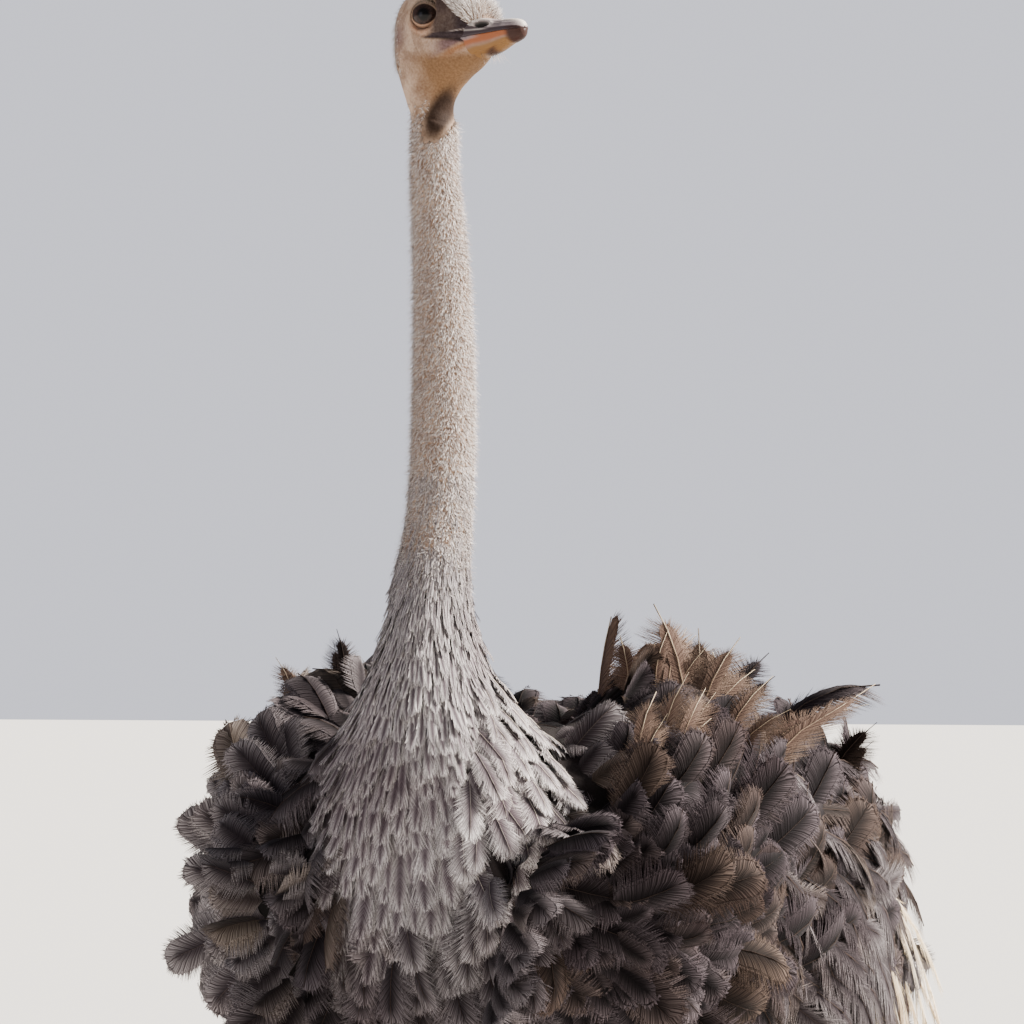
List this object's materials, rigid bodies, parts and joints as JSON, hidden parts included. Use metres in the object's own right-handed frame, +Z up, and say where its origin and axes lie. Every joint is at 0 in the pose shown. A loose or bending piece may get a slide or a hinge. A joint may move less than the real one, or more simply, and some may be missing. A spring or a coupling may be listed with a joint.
{
  "type": "ostrich",
  "caption": "Life-size still model of a standing ostrich hen, neck upright and head turned to her left, feet flat on the floor.",
  "frame": {"origin": "on the floor, under the middle of the box that holds the whole bird", "axes": "the breast faces -Y, the bird's left side is +X, and +Z is up"},
  "size_m": [0.7507, 1.3979, 1.9015],
  "materials": {
    "plumage_dark": "soft brown-grey body feathers",
    "plumage_grey": "pale grey neck and breast feathers",
    "neck_down": "short whitish down over brown skin",
    "face_skin": "thin brown-grey skin with sparse bristles",
    "bill_horn": "grey-brown horn",
    "eye": "wet dark brown eye",
    "leg_skin": "grey scaled skin",
    "claw_horn": "dark blunt nail"
  },
  "bodies": {
    "root": {"trunk": "plumage_dark", "wing_left": "plumage_dark", "wing_right": "plumage_dark", "tail": "plumage_dark", "thigh_left": "leg_skin", "thigh_right": "leg_skin", "neck_lower": "plumage_grey", "neck_middle": "neck_down", "neck_upper": "neck_down", "head": "face_skin", "bill_upper": "bill_horn", "bill_lower": "bill_horn", "eye_left": "eye", "eye_right": "eye", "shank_left": "leg_skin", "shank_right": "leg_skin", "toe_inner_left": "leg_skin", "toe_inner_right": "leg_skin", "toe_outer_left": "leg_skin", "toe_outer_right": "leg_skin", "claw_inner_left": "claw_horn", "claw_inner_right": "claw_horn", "claw_outer_left": "claw_horn", "claw_outer_right": "claw_horn"}
  },
  "joints": []
}
